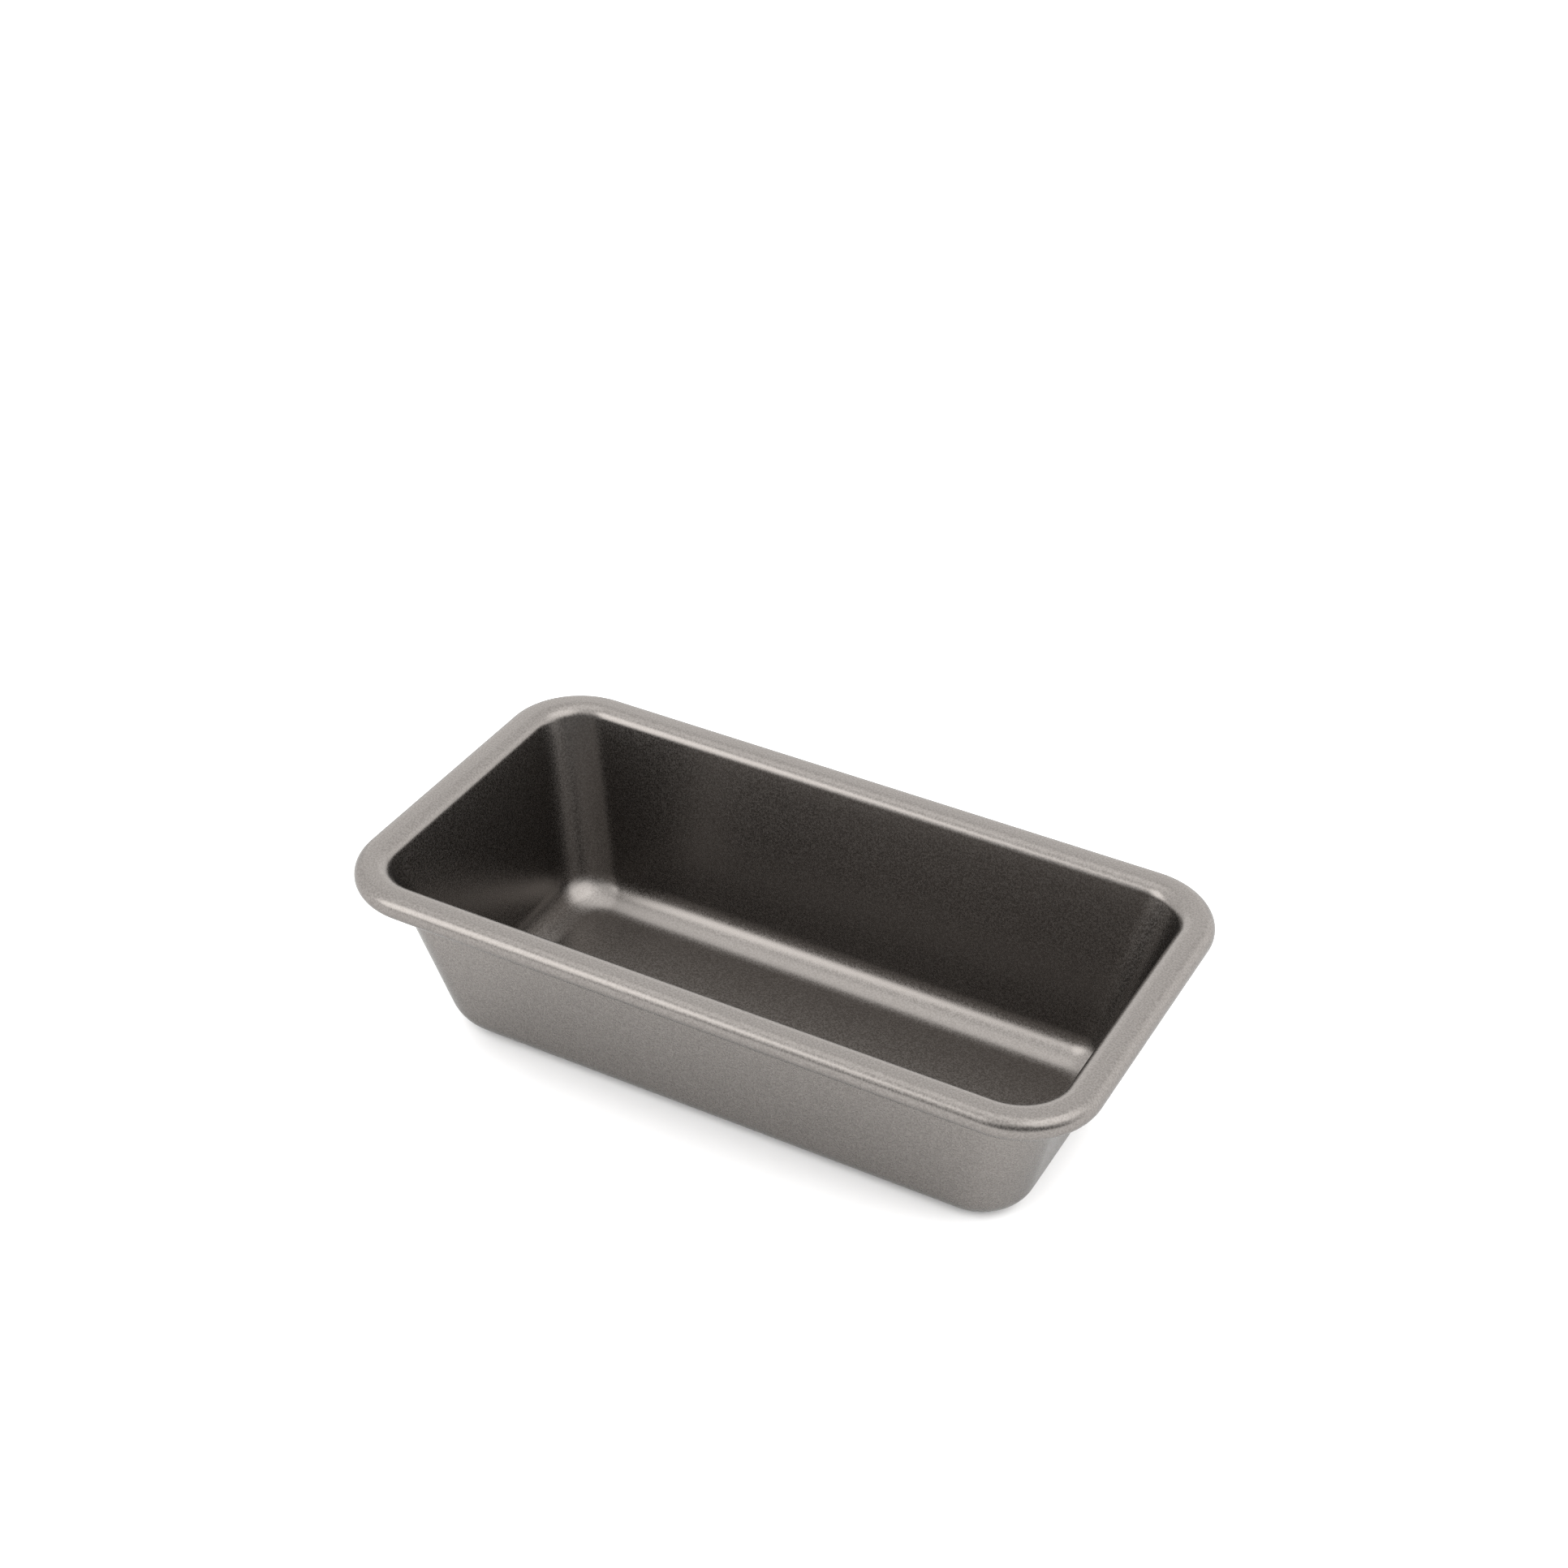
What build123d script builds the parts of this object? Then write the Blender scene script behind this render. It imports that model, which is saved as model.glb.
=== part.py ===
from build123d import *
import math
import os

# A one-piece pressed loaf pan. The sheet is steel with a non-stick coating on both faces. It makes a
# tapered, flat-bottomed well, a flat rim around the well, and a roll that closes around a steel wire.
# Millimetres. The origin is the centre of the underside. +X is the pan's length and +Z is up.

# Overall size, over the roll.
LENGTH = 250.0
WIDTH = 135.0
HEIGHT = 65.4

# The coated sheet, from the food side to the outside.
COATING_THICKNESS = 0.1
STEEL_THICKNESS = 0.6
SHEET_THICKNESS = STEEL_THICKNESS + 2 * COATING_THICKNESS

# The rim: its width runs from the outer edge to where the wall's plane meets the rim's top.
RIM_WIDTH = 10.35
RIM_CORNER_RADIUS = 26.1
LIP_RADIUS = 4.6

# The roll, seen in section, and the wire inside it.
ROLL_RADIUS = 4.1
ROLL_WRAP_ANGLE = 300.0
WIRE_CLEARANCE = 0.05
WIRE_RADIUS = ROLL_RADIUS - SHEET_THICKNESS - WIRE_CLEARANCE

# The well: how far each wall leans in from the rim to the base, and the radii on the food side.
END_WALL_LEAN = 15.7
SIDE_WALL_LEAN = 14.8
BASE_CORNER_RADIUS = 16.0
BASE_FILLET_RADIUS = 12.0

# Derived sizes.
DEPTH = HEIGHT - SHEET_THICKNESS
OPENING_CORNER_RADIUS = RIM_CORNER_RADIUS - RIM_WIDTH
ROLL_CENTRE_LENGTH = LENGTH - 2 * ROLL_RADIUS
ROLL_CENTRE_WIDTH = WIDTH - 2 * ROLL_RADIUS
ROLL_CENTRE_CORNER_RADIUS = RIM_CORNER_RADIUS - ROLL_RADIUS
HEADROOM = 10.0


def rounded_outline(length, width, corner_radius, height):
    """A flat rounded rectangle at a height."""
    return Pos(0, 0, height) * RectangleRounded(length, width, corner_radius)


def well_outline(height, depth_in_sheet):
    """The well's outline at a height, for the surface that lies this deep in the sheet."""
    drop = (HEIGHT - height) / DEPTH
    end_offset = depth_in_sheet * math.hypot(1, END_WALL_LEAN / DEPTH)
    side_offset = depth_in_sheet * math.hypot(1, SIDE_WALL_LEAN / DEPTH)
    half_length = LENGTH / 2 - RIM_WIDTH - drop * END_WALL_LEAN + end_offset
    half_width = WIDTH / 2 - RIM_WIDTH - drop * SIDE_WALL_LEAN + side_offset
    radius_change = BASE_CORNER_RADIUS - OPENING_CORNER_RADIUS
    corner_radius = OPENING_CORNER_RADIUS + drop * radius_change + depth_in_sheet
    return rounded_outline(2 * half_length, 2 * half_width, corner_radius, height)


def space_above(depth_in_sheet):
    """All the space over the surface that lies this deep in the sheet, out to where the roll starts."""
    base_height = SHEET_THICKNESS - depth_in_sheet
    rim_height = HEIGHT - depth_in_sheet
    well = loft([well_outline(base_height, depth_in_sheet), well_outline(HEIGHT, depth_in_sheet)])
    cover_outline = rounded_outline(
        ROLL_CENTRE_LENGTH, ROLL_CENTRE_WIDTH, ROLL_CENTRE_CORNER_RADIUS, rim_height
    )
    cover = extrude(cover_outline, HEADROOM + depth_in_sheet)
    space = well + cover
    base_edges = space.edges().group_by(Axis.Z)[0]
    space = fillet(base_edges, BASE_FILLET_RADIUS + depth_in_sheet)
    rim_edges = space.faces().filter_by(Plane.XY).group_by(Axis.Z)[1].face().inner_wires()[0].edges()
    return fillet(rim_edges, LIP_RADIUS - depth_in_sheet)


def around_rim(profile):
    """Runs a section, drawn at the roll's centre in the XZ plane, all the way around the rim."""
    radius = ROLL_CENTRE_CORNER_RADIUS
    half_length = ROLL_CENTRE_LENGTH / 2
    half_width = ROLL_CENTRE_WIDTH / 2
    run_x = half_length - radius
    run_y = half_width - radius
    roll_height = HEIGHT - ROLL_RADIUS
    end_run = extrude(Pos(half_length, 0, roll_height) * profile, run_y, both=True)
    side_run = extrude(Pos(0, half_width, roll_height) * Rot(0, 0, 90) * profile, run_x, both=True)
    bend = revolve(Pos(radius, 0, 0) * profile, Axis.Z, 90)
    pieces = [end_run, Rot(0, 0, 180) * end_run, side_run, Rot(0, 0, 180) * side_run]
    for side_x, side_y, turn in ((1, 1, 0), (-1, 1, 90), (-1, -1, 180), (1, -1, 270)):
        pieces.append(Pos(side_x * run_x, side_y * run_y, roll_height) * Rot(0, 0, turn) * bend)
    return pieces[0].fuse(*pieces[1:])


def roll_section(outer_depth, inner_depth):
    """One layer of the rolled sheet in section, from the rim's top around the outside and back under."""
    outer_radius = ROLL_RADIUS - outer_depth
    inner_radius = ROLL_RADIUS - inner_depth
    outer_arc = CenterArc((0, 0), outer_radius, 90, -ROLL_WRAP_ANGLE)
    inner_arc = CenterArc((0, 0), inner_radius, 90, -ROLL_WRAP_ANGLE)
    start = Line(outer_arc @ 0, inner_arc @ 0)
    end = Line(outer_arc @ 1, inner_arc @ 1)
    return Plane.XZ * make_face([outer_arc, inner_arc, start, end])


def sheet_layer(outer_depth, inner_depth):
    """One closed layer of the pan: the well, the flat rim and the roll, as one solid."""
    pressed = space_above(inner_depth) - space_above(outer_depth)
    rolled = around_rim(roll_section(outer_depth, inner_depth))
    return (pressed + rolled).clean()


def make_inner_coating():
    """Food-side coating, which also ends up on the outside of the roll."""
    return sheet_layer(0, COATING_THICKNESS)


def make_steel_shell():
    """The pressed steel sheet."""
    return sheet_layer(COATING_THICKNESS, COATING_THICKNESS + STEEL_THICKNESS)


def make_outer_coating():
    """Outside coating, which also lines the inside of the roll."""
    return sheet_layer(COATING_THICKNESS + STEEL_THICKNESS, SHEET_THICKNESS)


def make_rim_wire():
    """The steel wire that stiffens the rim, butted into a closed loop."""
    return around_rim(Plane.XZ * Circle(WIRE_RADIUS))


PIECES = {
    "steel_shell": make_steel_shell,
    "rim_wire": make_rim_wire,
    "inner_nonstick_coating": make_inner_coating,
    "outer_nonstick_coating": make_outer_coating,
}

os.makedirs("parts", exist_ok=True)
for node, make_piece in PIECES.items():
    export_step(make_piece(), f"parts/{node}.step")
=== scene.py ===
import math

import bmesh
import bpy
from mathutils import Matrix, Quaternion, Vector


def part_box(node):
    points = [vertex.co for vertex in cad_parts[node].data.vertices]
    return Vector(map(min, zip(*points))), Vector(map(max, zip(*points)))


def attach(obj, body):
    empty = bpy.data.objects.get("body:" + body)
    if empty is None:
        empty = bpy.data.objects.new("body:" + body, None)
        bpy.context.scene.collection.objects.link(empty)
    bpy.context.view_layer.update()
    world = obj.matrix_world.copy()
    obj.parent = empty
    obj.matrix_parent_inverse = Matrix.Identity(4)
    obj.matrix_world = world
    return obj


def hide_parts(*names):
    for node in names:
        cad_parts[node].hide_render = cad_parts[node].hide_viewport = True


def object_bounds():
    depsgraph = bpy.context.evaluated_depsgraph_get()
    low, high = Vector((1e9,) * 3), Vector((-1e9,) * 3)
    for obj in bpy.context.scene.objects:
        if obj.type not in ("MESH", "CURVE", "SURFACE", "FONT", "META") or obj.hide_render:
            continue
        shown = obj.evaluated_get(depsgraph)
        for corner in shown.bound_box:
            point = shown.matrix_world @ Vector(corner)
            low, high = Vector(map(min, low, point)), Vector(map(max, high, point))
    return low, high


# A one-piece pressed loaf pan with a non-stick coating, on a pale studio floor. Everything is in metres.

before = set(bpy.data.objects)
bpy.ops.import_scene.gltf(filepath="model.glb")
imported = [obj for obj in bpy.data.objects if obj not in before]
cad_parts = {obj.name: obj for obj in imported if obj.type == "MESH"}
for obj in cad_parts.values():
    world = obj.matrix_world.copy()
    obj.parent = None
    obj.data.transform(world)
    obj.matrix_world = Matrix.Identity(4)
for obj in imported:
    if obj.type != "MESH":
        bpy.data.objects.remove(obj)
cad_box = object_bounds()

# Sizes that the frame gives.
LENGTH = cad_box[1].x - cad_box[0].x
WIDTH = cad_box[1].y - cad_box[0].y
HEIGHT = cad_box[1].z - cad_box[0].z
STEEL_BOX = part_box("steel_shell")
FOOD_SIDE_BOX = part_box("inner_nonstick_coating")
WIRE_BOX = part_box("rim_wire")
COATING = STEEL_BOX[0].z
STEEL = FOOD_SIDE_BOX[0].z - STEEL_BOX[0].z
SHEET = STEEL + 2 * COATING
WIRE_RADIUS = (WIRE_BOX[1].z - WIRE_BOX[0].z) / 2
ROLL_RADIUS = HEIGHT - (WIRE_BOX[1].z + WIRE_BOX[0].z) / 2

# Sizes of the pressed shape, the same as the CAD model's.
RIM_WIDTH = 0.01035
RIM_CORNER_RADIUS = 0.0261
LIP_RADIUS = 0.0046
ROLL_WRAP = math.radians(300)
END_WALL_LEAN = 0.0157
SIDE_WALL_LEAN = 0.0148
BASE_CORNER_RADIUS = 0.016
BASE_FILLET_RADIUS = 0.012
OPENING_CORNER_RADIUS = RIM_CORNER_RADIUS - RIM_WIDTH
DEPTH = HEIGHT - SHEET
ROLL_CENTRE_OUT = RIM_WIDTH - ROLL_RADIUS

# How finely each stretch of the mesh is divided.
CORNER_STEPS = 28
END_STEPS = 16
SIDE_STEPS = 32
FILLET_STEPS = 20
WALL_STEPS = 10
LIP_STEPS = 14
ROLL_STEPS = 44
BASE_STEPS = 4
WIRE_STEPS = 24

# The share of the base's corner radius that its innermost outline lies in from the fillet.
BASE_INSET = 0.9

# Edges sharper than this stay sharp when a piece is shaded.
SHARP_ANGLE = math.radians(40)


# ---------------------------------------------------------------- the sheet's section

def arc(centre, radius, start, end, steps):
    """Points of an arc in a section, as (distance out from the well's mouth, height)."""
    angles = [start + (end - start) * i / steps for i in range(steps + 1)]
    return [(centre[0] + radius * math.cos(a), centre[1] + radius * math.sin(a)) for a in angles]


def straight(start, end, steps):
    """Points between two ends, without the ends themselves."""
    fractions = [i / steps for i in range(1, steps)]
    return [(start[0] + (end[0] - start[0]) * f, start[1] + (end[1] - start[1]) * f) for f in fractions]


def pressed_section(lean, depth):
    """The pressed part of the section, from the base's edge up to the rim, at a depth in the sheet."""
    slope = math.atan2(lean, DEPTH)
    foot_height = SHEET + BASE_FILLET_RADIUS
    foot_out = -(HEIGHT - foot_height) * math.tan(slope) - BASE_FILLET_RADIUS / math.cos(slope)
    lip_out = LIP_RADIUS * (1 / math.cos(slope) - math.tan(slope))
    lip_height = HEIGHT - LIP_RADIUS
    foot = arc((foot_out, foot_height), BASE_FILLET_RADIUS + depth, -math.pi / 2, -slope, FILLET_STEPS)
    lip = arc((lip_out, lip_height), LIP_RADIUS - depth, math.pi - slope, math.pi / 2, LIP_STEPS)
    return foot + straight(foot[-1], lip[0], WALL_STEPS) + lip


def rolled_section(depth):
    """The roll's section, from where the flat rim ends, around the outside and back under the rim."""
    centre = (ROLL_CENTRE_OUT, HEIGHT - ROLL_RADIUS)
    return arc(centre, ROLL_RADIUS - depth, math.pi / 2, math.pi / 2 - ROLL_WRAP, ROLL_STEPS)


# ---------------------------------------------------------------- outlines around the pan

def outline(end, side, end_radius, side_radius):
    """One closed outline around the pan, through a point of the end walls' section and one of the sides'."""
    end_x = LENGTH / 2 - RIM_WIDTH + end[0]
    side_y = WIDTH / 2 - RIM_WIDTH + side[0]
    centre_x = end_x - end_radius
    centre_y = side_y - side_radius
    quarter = []
    for i in range(END_STEPS // 2):
        quarter.append(Vector((end_x, centre_y * 2 * i / END_STEPS, end[1])))
    for i in range(CORNER_STEPS + 1):
        angle = math.pi / 2 * i / CORNER_STEPS
        share = math.sin(angle) ** 2
        radius = end_radius + (side_radius - end_radius) * share
        x = centre_x + radius * math.cos(angle)
        y = centre_y + radius * math.sin(angle)
        quarter.append(Vector((x, y, end[1] + (side[1] - end[1]) * share)))
    for i in range(1, SIDE_STEPS // 2):
        quarter.append(Vector((centre_x * (1 - 2 * i / SIDE_STEPS), side_y, side[1])))
    top = Vector((0, side_y, side[1]))
    half = quarter + [top] + [Vector((-p.x, p.y, p.z)) for p in reversed(quarter)]
    return half + [Vector((p.x, -p.y, p.z)) for p in reversed(half[1:-1])]


def wall_corner_radius(lean, point):
    """The corner radius of an outline that goes through this point of the pressed section."""
    drop = (HEIGHT - point[1]) / DEPTH
    wall_radius = OPENING_CORNER_RADIUS + drop * (BASE_CORNER_RADIUS - OPENING_CORNER_RADIUS)
    return wall_radius + point[0] + drop * lean


def ring_outline(point):
    """An outline around the rim, where every wall has the same section."""
    radius = OPENING_CORNER_RADIUS + point[0]
    return outline(point, point, radius, radius)


def surface(depth):
    """Outlines of the surface at a depth in the sheet, from the middle of the base to the end of the roll."""
    ends = pressed_section(END_WALL_LEAN, depth)
    sides = pressed_section(SIDE_WALL_LEAN, depth)
    outlines = []
    inner_radius = wall_corner_radius(END_WALL_LEAN, ends[0])
    for i in range(BASE_STEPS, 0, -1):
        inset = inner_radius * BASE_INSET * i / BASE_STEPS
        end = (ends[0][0] - inset, ends[0][1])
        side = (sides[0][0] - inset, sides[0][1])
        outlines.append(outline(end, side, inner_radius - inset, inner_radius - inset))
    for end, side in zip(ends, sides):
        end_radius = wall_corner_radius(END_WALL_LEAN, end)
        side_radius = wall_corner_radius(SIDE_WALL_LEAN, side)
        outlines.append(outline(end, side, end_radius, side_radius))
    return outlines + [ring_outline(point) for point in rolled_section(depth)]


# ---------------------------------------------------------------- meshes

def add_outlines(mesh, outlines):
    """Adds the points of every outline to a mesh."""
    return [[mesh.verts.new(point) for point in line] for line in outlines]


def join_outlines(mesh, first, second):
    """Fills the space between two outlines with a ring of quads."""
    for i in range(len(first)):
        after = (i + 1) % len(first)
        mesh.faces.new((first[i], first[after], second[after], second[i]))


def fill_base(mesh, line):
    """Fills the innermost outline with strips that run from one long side to the other."""
    count = len(line)
    for i in range(count // 2):
        corners = (line[i], line[i + 1], line[count - i - 1], line[(count - i) % count])
        mesh.faces.new(list(dict.fromkeys(corners)))


def finished_object(mesh, name, node, material):
    """Turns a bmesh into a smooth piece that stands for a CAD node."""
    bmesh.ops.recalc_face_normals(mesh, faces=mesh.faces)
    data = bpy.data.meshes.new(name)
    mesh.to_mesh(data)
    mesh.free()
    data.materials.append(material)
    piece = bpy.data.objects.new(name, data)
    bpy.context.scene.collection.objects.link(piece)
    data.shade_smooth()
    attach(piece, "root")
    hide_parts(node)
    return piece


def sheet_layer(name, upper_depth, lower_depth, node, material):
    """One closed layer of the sheet between two depths."""
    mesh = bmesh.new()
    upper = add_outlines(mesh, surface(upper_depth))
    lower = add_outlines(mesh, surface(lower_depth))
    for lines in (upper, lower):
        fill_base(mesh, lines[0])
        for first, second in zip(lines, lines[1:]):
            join_outlines(mesh, first, second)
    join_outlines(mesh, upper[-1], lower[-1])
    piece = finished_object(mesh, name, node, material)
    piece.data.set_sharp_from_angle(angle=SHARP_ANGLE)


def rim_wire(material):
    """The closed ring of wire inside the roll."""
    mesh = bmesh.new()
    centre = (ROLL_CENTRE_OUT, HEIGHT - ROLL_RADIUS)
    section = arc(centre, WIRE_RADIUS, 0, math.tau, WIRE_STEPS)[:-1]
    lines = add_outlines(mesh, [ring_outline(point) for point in section])
    for first, second in zip(lines, lines[1:] + lines[:1]):
        join_outlines(mesh, first, second)
    finished_object(mesh, "wire_in_roll", "rim_wire", material)


# ---------------------------------------------------------------- materials

# The coating: its metal flakes, its large faint blotches and its slight orange peel. Sizes and depths are in
# metres. A range is the stretch of the noise's values that is spread over a whole change.
FLAKE_SIZE = 0.0006
FLAKE_RANGE = (0.35, 0.65)
FLAKE_DEPTH = 0.0000015
BLOTCH_SIZE = 0.03
BLOTCH_RANGE = (0.3, 0.7)
BLOTCH_STRENGTH = 0.10
PEEL_SIZE = 0.0018
PEEL_DEPTH = 0.000002
COATING_ROUGHNESS = (0.24, 0.32)
COATING_EDGE_TINT = (0.7, 0.7, 0.7, 1)
FOOD_SIDE_COLOURS = ((0.14, 0.129, 0.121), (0.185, 0.172, 0.162))
# The outside is the same coating as the food side, but its colours are about 15 % lighter. This is painted
# light: it brightens the outer walls beyond what the floor's reflected light gives them.
OUTSIDE_COLOURS_WITH_PAINTED_LIGHT = ((0.16, 0.148, 0.139), (0.21, 0.196, 0.184))

# The bare steel's rolled grain.
GRAIN_SIZE = 0.0006
GRAIN_RANGE = (0.3, 0.7)
GRAIN_DEPTH = 0.000004
STEEL_ROUGHNESS = (0.3, 0.45)
STEEL_COLOURS = ((0.42, 0.42, 0.43), (0.60, 0.60, 0.61))


def new_material(name):
    """A material with its nodes, links and shader."""
    material = bpy.data.materials.new(name)
    material.use_nodes = True
    tree = material.node_tree
    return material, tree.nodes, tree.links, tree.nodes["Principled BSDF"]


def add_noise(nodes, links, place, feature_size, detail):
    """Noise whose blotches are about this large, in metres."""
    noise = nodes.new("ShaderNodeTexNoise")
    noise.inputs["Scale"].default_value = 1 / feature_size
    noise.inputs["Detail"].default_value = detail
    links.new(place, noise.inputs["Vector"])
    return noise.outputs["Fac"]


def add_range(nodes, links, value, low, high, out_low, out_high):
    """Maps a value from one range to another."""
    mapping = nodes.new("ShaderNodeMapRange")
    for socket, number in zip(("From Min", "From Max", "To Min", "To Max"), (low, high, out_low, out_high)):
        mapping.inputs[socket].default_value = number
    links.new(value, mapping.inputs["Value"])
    return mapping.outputs["Result"]


def add_mix(nodes, links, share, first, second):
    """Mixes two colours by a value."""
    mix = nodes.new("ShaderNodeMix")
    mix.data_type = "RGBA"
    links.new(share, mix.inputs["Factor"])
    for socket, colour in ((mix.inputs[6], first), (mix.inputs[7], second)):
        if isinstance(colour, tuple):
            socket.default_value = (*colour, 1)
        else:
            links.new(colour, socket)
    return mix.outputs[2]


def add_bump(nodes, links, height, depth, under=None):
    """A bump as deep as this, in metres, on top of another one if it is given."""
    bump = nodes.new("ShaderNodeBump")
    bump.inputs["Strength"].default_value = 1.0
    bump.inputs["Distance"].default_value = depth
    links.new(height, bump.inputs["Height"])
    if under is not None:
        links.new(under, bump.inputs["Normal"])
    return bump.outputs["Normal"]


def coating_material(name, colours):
    """A semi-gloss non-stick coating with metal flakes in it."""
    material, nodes, links, shader = new_material(name)
    dark, light = colours
    place = nodes.new("ShaderNodeTexCoord").outputs["Object"]
    flakes = add_noise(nodes, links, place, FLAKE_SIZE, detail=1.0)
    blotches = add_noise(nodes, links, place, BLOTCH_SIZE, detail=2.0)
    peel = add_noise(nodes, links, place, PEEL_SIZE, detail=1.0)
    flake_share = add_range(nodes, links, flakes, *FLAKE_RANGE, 0.0, 1.0)
    colour = add_mix(nodes, links, flake_share, dark, light)
    shade = add_range(nodes, links, blotches, *BLOTCH_RANGE, 0.0, BLOTCH_STRENGTH)
    links.new(add_mix(nodes, links, shade, colour, dark), shader.inputs["Base Color"])
    roughness = add_range(nodes, links, flakes, *FLAKE_RANGE, *COATING_ROUGHNESS)
    links.new(roughness, shader.inputs["Roughness"])
    under = add_bump(nodes, links, peel, PEEL_DEPTH)
    links.new(add_bump(nodes, links, flakes, FLAKE_DEPTH, under), shader.inputs["Normal"])
    shader.inputs["Metallic"].default_value = 1.0
    shader.inputs["Specular Tint"].default_value = COATING_EDGE_TINT
    return material


def steel_material():
    """Bare cold-rolled steel."""
    material, nodes, links, shader = new_material("bare_steel")
    place = nodes.new("ShaderNodeTexCoord").outputs["Object"]
    grain = add_noise(nodes, links, place, GRAIN_SIZE, detail=3.0)
    links.new(add_mix(nodes, links, grain, *STEEL_COLOURS), shader.inputs["Base Color"])
    links.new(add_range(nodes, links, grain, *GRAIN_RANGE, *STEEL_ROUGHNESS), shader.inputs["Roughness"])
    links.new(add_bump(nodes, links, grain, GRAIN_DEPTH), shader.inputs["Normal"])
    shader.inputs["Metallic"].default_value = 1.0
    return material


# ---------------------------------------------------------------- studio

# The camera, and how far its aim is off the centre of the rim's top, across and up the picture.
CAMERA_AZIMUTH = math.radians(27.41)
CAMERA_ELEVATION = math.radians(34.26)
CAMERA_ROLL = math.radians(1.54)
CAMERA_DISTANCE = 0.8541
CAMERA_LENS = 63.7
CAMERA_SENSOR = 36
AIM_SIDEWAYS = 0.0008
AIM_UP = 0.0311

# The even studio light, and a darker round gap in it, in degrees and as cosines from the gap's middle.
STUDIO_LIGHT = 2.15
GAP_LIGHT = 0.4
GAP_AZIMUTH = 32
GAP_ELEVATION = -25
GAP_START = math.cos(math.radians(70))
GAP_FULL = math.cos(math.radians(55))

# Softboxes: name, azimuth, elevation, width, height, brightness and tilt, with angles in degrees.
SOFTBOX_DISTANCE = 1.8
SOFTBOXES = (
    ("back", -155, 20, 2.0, 1.0, 0.6, 0),
    ("overhead", 0, 88, 2.0, 1.1, 0.75, 0),
    ("front_strip", -36, 29, 0.8, 1.2, 3.0, -18),
    ("right_high", 80, 50, 1.8, 1.3, 1.6, 0),
    ("right_low", 138, 16, 2.0, 1.1, 0.55, 0),
)

# The floor reaches this far from its middle each way.
FLOOR_REACH = 6
FLOOR_COLOUR = (0.94, 0.94, 0.94, 1)
FLOOR_ROUGHNESS = 0.9


def add_camera():
    """Looks down at the pan from its front right."""
    data = bpy.data.cameras.new("camera")
    data.lens = CAMERA_LENS
    data.sensor_width = CAMERA_SENSOR
    camera = bpy.data.objects.new("camera", data)
    bpy.context.scene.collection.objects.link(camera)
    around = Matrix.Rotation(CAMERA_AZIMUTH, 3, "Z")
    down = Matrix.Rotation(math.pi / 2 - CAMERA_ELEVATION, 3, "X")
    turn = around @ down @ Matrix.Rotation(CAMERA_ROLL, 3, "Z")
    aim = Vector((0, 0, HEIGHT)) + turn @ Vector((AIM_SIDEWAYS, AIM_UP, 0))
    camera.matrix_world = Matrix.Translation(aim + turn @ Vector((0, 0, CAMERA_DISTANCE))) @ turn.to_4x4()
    bpy.context.scene.camera = camera


def direction_to(azimuth, elevation):
    """The direction to a place around the pan, from degrees. Azimuth 0 is in front and 90 to the right."""
    a = math.radians(azimuth)
    e = math.radians(elevation)
    return Vector((math.sin(a) * math.cos(e), -math.cos(a) * math.cos(e), math.sin(e)))


def add_softbox(name, azimuth, elevation, width, height, brightness, tilt):
    """A soft light that faces the pan, its brightness on the studio light's scale."""
    data = bpy.data.lights.new(name, "AREA")
    data.shape = "RECTANGLE"
    data.size = width
    data.size_y = height
    data.energy = brightness * math.pi * width * height
    light = bpy.data.objects.new(name, data)
    bpy.context.scene.collection.objects.link(light)
    back = direction_to(azimuth, elevation)
    light.location = back * SOFTBOX_DISTANCE
    light.rotation_mode = "QUATERNION"
    light.rotation_quaternion = (-back).to_track_quat("-Z", "Y") @ Quaternion((0, 0, 1), math.radians(tilt))
    light.visible_camera = False


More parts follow.
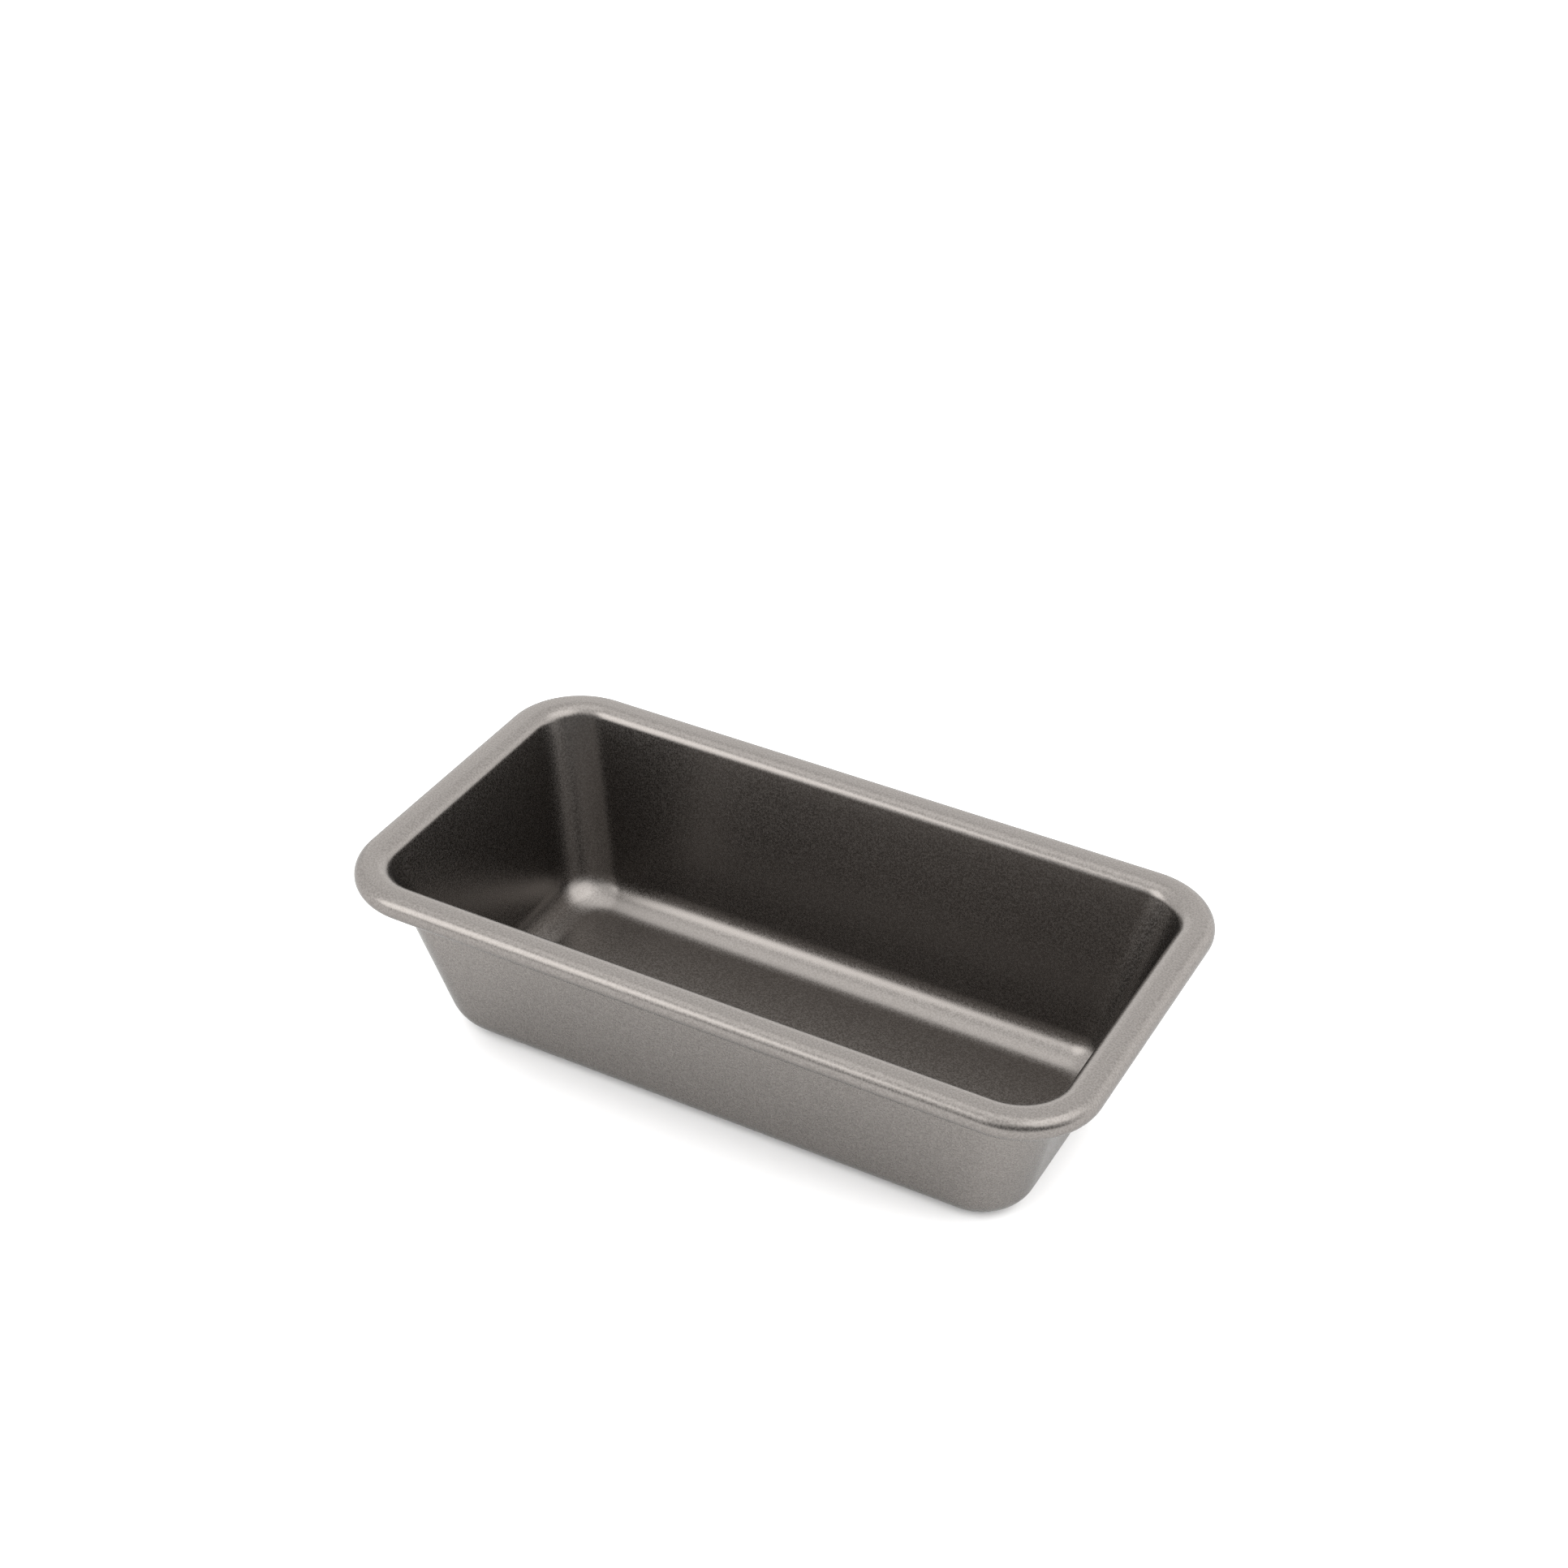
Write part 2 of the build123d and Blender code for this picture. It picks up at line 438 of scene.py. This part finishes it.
def add_floor():
    """A plain white floor."""
    mesh = bmesh.new()
    bmesh.ops.create_grid(mesh, x_segments=1, y_segments=1, size=FLOOR_REACH)
    data = bpy.data.meshes.new("floor")
    mesh.to_mesh(data)
    mesh.free()
    floor = bpy.data.objects.new("floor", data)
    bpy.context.scene.collection.objects.link(floor)
    material, _, _, shader = new_material("white_floor")
    shader.inputs["Base Color"].default_value = FLOOR_COLOUR
    shader.inputs["Roughness"].default_value = FLOOR_ROUGHNESS
    data.materials.append(material)


def add_world():
    """An even studio with a darker gap low at the front right. The camera sees white where the gap is."""
    world = bpy.data.worlds.new("studio")
    world.use_nodes = True
    nodes = world.node_tree.nodes
    links = world.node_tree.links
    direction = nodes.new("ShaderNodeTexCoord").outputs["Generated"]
    towards_gap = nodes.new("ShaderNodeVectorMath")
    towards_gap.operation = "DOT_PRODUCT"
    towards_gap.inputs[1].default_value = direction_to(GAP_AZIMUTH, GAP_ELEVATION)
    links.new(direction, towards_gap.inputs[0])
    nearness = towards_gap.outputs["Value"]
    brightness = add_range(nodes, links, nearness, GAP_START, GAP_FULL, STUDIO_LIGHT, GAP_LIGHT)
    nodes["Background"].inputs["Color"].default_value = (1, 1, 1, 1)
    seen = nodes.new("ShaderNodeMath")
    seen.operation = "MAXIMUM"
    links.new(brightness, seen.inputs[0])
    links.new(nodes.new("ShaderNodeLightPath").outputs["Is Camera Ray"], seen.inputs[1])
    links.new(seen.outputs["Value"], nodes["Background"].inputs["Strength"])
    bpy.context.scene.world = world


def build_pan():
    """Every piece of the pan, each standing for one CAD node."""
    inner = coating_material("inner_nonstick", FOOD_SIDE_COLOURS)
    # The outside gets the lighter copy of the coating, with painted light in its colours.
    outer = coating_material("outer_nonstick", OUTSIDE_COLOURS_WITH_PAINTED_LIGHT)
    steel = steel_material()
    under_steel = COATING + STEEL
    sheet_layer("coating_inside", 0, COATING, "inner_nonstick_coating", inner)
    sheet_layer("pressed_sheet", COATING, under_steel, "steel_shell", steel)
    sheet_layer("coating_outside", under_steel, SHEET, "outer_nonstick_coating", outer)
    rim_wire(steel)


build_pan()
add_camera()
add_floor()
add_world()
for softbox in SOFTBOXES:
    add_softbox(*softbox)
bpy.context.scene.view_settings.view_transform = "Standard"
